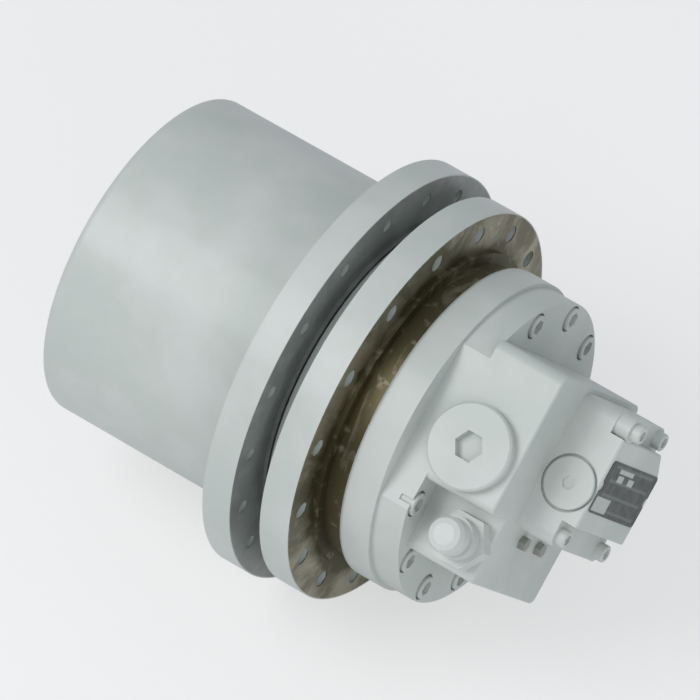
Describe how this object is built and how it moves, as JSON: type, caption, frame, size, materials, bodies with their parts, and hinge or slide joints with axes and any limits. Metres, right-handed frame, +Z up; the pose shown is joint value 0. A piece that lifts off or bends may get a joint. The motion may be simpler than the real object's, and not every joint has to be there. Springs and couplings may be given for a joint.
{
  "type": "excavator final drive",
  "caption": "Track final drive: a planetary gearbox in a rotating drum with a sprocket flange, and a piston motor in the fixed spindle with its port block and valves.",
  "frame": {"origin": "centre of the machined face that bolts against the track frame", "axes": "+X along the drive's axis from the drum towards the motor, +Z up; the port block is clocked 54.5 degrees about X"},
  "size_m": [0.5655, 0.4399, 0.44],
  "materials": {
    "grey_paint": "satin grey paint",
    "dark_steel": "machined, oiled",
    "gear_steel": "ground and case hardened",
    "bronze": "turned bronze",
    "seal_rubber": "matt black",
    "white_plastic": "moulded cap",
    "dark_plate": "printed dark, bare",
    "cast": "machined casting"
  },
  "bodies": {
    "frame_side": {"spindle_casing": "grey_paint", "bearing_nut": "dark_steel", "main_bearing_cones": "gear_steel", "bearing_spacer": "dark_steel", "frame_seal_ring": "dark_steel", "frame_seal_rubber": "seal_rubber", "carrier_two_plate": "dark_steel", "planet_two_pins": "gear_steel", "planet_two_bushes": "bronze", "shaft_bearing_cups": "gear_steel", "shaft_seal": "seal_rubber", "swash_plate": "gear_steel", "valve_plate": "bronze", "brake_steel_plates": "dark_steel", "brake_springs": "dark_steel", "casing_seal": "seal_rubber", "port_block": "grey_paint", "port_block_bolts": "grey_paint", "counterbalance_plugs": "grey_paint", "counterbalance_springs": "dark_steel", "relief_valves": "grey_paint", "valve_block": "grey_paint", "valve_block_screws": "grey_paint", "speed_spool_plugs": "grey_paint", "speed_springs": "dark_steel", "data_plate": "dark_plate", "port_adapter": "grey_paint", "port_cap": "white_plastic", "bleed_screws": "dark_steel"},
    "drum": {"drum_housing": "grey_paint", "ring_gear": "gear_steel", "main_bearing_cups": "gear_steel", "drum_seal_ring": "dark_steel", "drum_seal_rubber": "seal_rubber", "drum_cover": "grey_paint", "drum_cover_bolts": "grey_paint", "drum_oil_plugs": "grey_paint", "thrust_pad": "bronze"},
    "carrier_stage_one": {"carrier_one": "cast", "sun_gear_two": "gear_steel", "planet_one_pins": "gear_steel", "planet_one_bushes": "bronze"},
    "input_shaft": {"sun_gear_one": "gear_steel", "coupling_sleeve": "dark_steel", "motor_shaft": "gear_steel", "shaft_bearing_cone": "gear_steel", "cylinder_block": "dark_steel", "motor_pistons": "gear_steel", "shoe_retainer": "dark_steel", "brake_friction_discs": "dark_steel"},
    "counterbalance_valve": {"counterbalance_spool": "gear_steel"},
    "speed_valve": {"speed_spool": "gear_steel"},
    "brake_ring": {"brake_piston": "cast"},
    "planet_one_a": {"planet_gear_one_a": "gear_steel"},
    "planet_one_b": {"planet_gear_one_b": "gear_steel"},
    "planet_one_c": {"planet_gear_one_c": "gear_steel"},
    "planet_two_a": {"planet_gear_two_a": "gear_steel"},
    "planet_two_b": {"planet_gear_two_b": "gear_steel"},
    "planet_two_c": {"planet_gear_two_c": "gear_steel"},
    "planet_two_d": {"planet_gear_two_d": "gear_steel"}
  },
  "joints": [
    {"name": "drum_spin", "type": "hinge", "parent": "frame_side", "child": "drum", "pos_m": [0, 0, 0], "axis": [1, 0, 0], "continuous": true},
    {"name": "carrier_one_spin", "type": "hinge", "parent": "frame_side", "child": "carrier_stage_one", "pos_m": [0, 0, 0], "axis": [1, 0, 0], "continuous": true},
    {"name": "input_spin", "type": "hinge", "parent": "frame_side", "child": "input_shaft", "pos_m": [0, 0, 0], "axis": [1, 0, 0], "continuous": true},
    {"name": "planet_one_a_spin", "type": "hinge", "parent": "carrier_stage_one", "child": "planet_one_a", "pos_m": [-0.273, 0.0825, 0], "axis": [1, 0, 0], "continuous": true},
    {"name": "planet_one_b_spin", "type": "hinge", "parent": "carrier_stage_one", "child": "planet_one_b", "pos_m": [-0.273, -0.04125, 0.07145], "axis": [1, 0, 0], "continuous": true},
    {"name": "planet_one_c_spin", "type": "hinge", "parent": "carrier_stage_one", "child": "planet_one_c", "pos_m": [-0.273, -0.04125, -0.07145], "axis": [1, 0, 0], "continuous": true},
    {"name": "planet_two_a_spin", "type": "hinge", "parent": "frame_side", "child": "planet_two_a", "pos_m": [-0.202, 0.088, 0], "axis": [1, 0, 0], "continuous": true},
    {"name": "planet_two_b_spin", "type": "hinge", "parent": "frame_side", "child": "planet_two_b", "pos_m": [-0.202, 0, 0.088], "axis": [1, 0, 0], "continuous": true},
    {"name": "planet_two_c_spin", "type": "hinge", "parent": "frame_side", "child": "planet_two_c", "pos_m": [-0.202, -0.088, 0], "axis": [1, 0, 0], "continuous": true},
    {"name": "planet_two_d_spin", "type": "hinge", "parent": "frame_side", "child": "planet_two_d", "pos_m": [-0.202, 0, -0.088], "axis": [1, 0, 0], "continuous": true},
    {"name": "counterbalance_slide", "type": "slide", "parent": "frame_side", "child": "counterbalance_valve", "axis": [0, -0.5807, 0.8141], "range_m": [-0.008, 0.008], "stiffness_N_per_m": 5000, "deforming": ["counterbalance_springs"]},
    {"name": "speed_slide", "type": "slide", "parent": "frame_side", "child": "speed_valve", "axis": [0, -0.5807, 0.8141], "range_m": [-0.005, 0.005], "stiffness_N_per_m": 3000, "deforming": ["speed_springs"]},
    {"name": "brake_release", "type": "slide", "parent": "frame_side", "child": "brake_ring", "axis": [1, 0, 0], "range_m": [0, 0.002], "stiffness_N_per_m": 50000, "springref_m": -0.004, "deforming": ["brake_springs"]}
  ],
  "couplings": [
    {"joint": "carrier_one_spin", "follows": "drum_spin", "ratio": -3},
    {"joint": "input_spin", "follows": "drum_spin", "ratio": -19},
    {"joint": "planet_one_a_spin", "follows": "drum_spin", "ratio": 10.667},
    {"joint": "planet_one_b_spin", "follows": "drum_spin", "ratio": 10.667},
    {"joint": "planet_one_c_spin", "follows": "drum_spin", "ratio": 10.667},
    {"joint": "planet_two_a_spin", "follows": "drum_spin", "ratio": 3},
    {"joint": "planet_two_b_spin", "follows": "drum_spin", "ratio": 3},
    {"joint": "planet_two_c_spin", "follows": "drum_spin", "ratio": 3},
    {"joint": "planet_two_d_spin", "follows": "drum_spin", "ratio": 3}
  ]
}
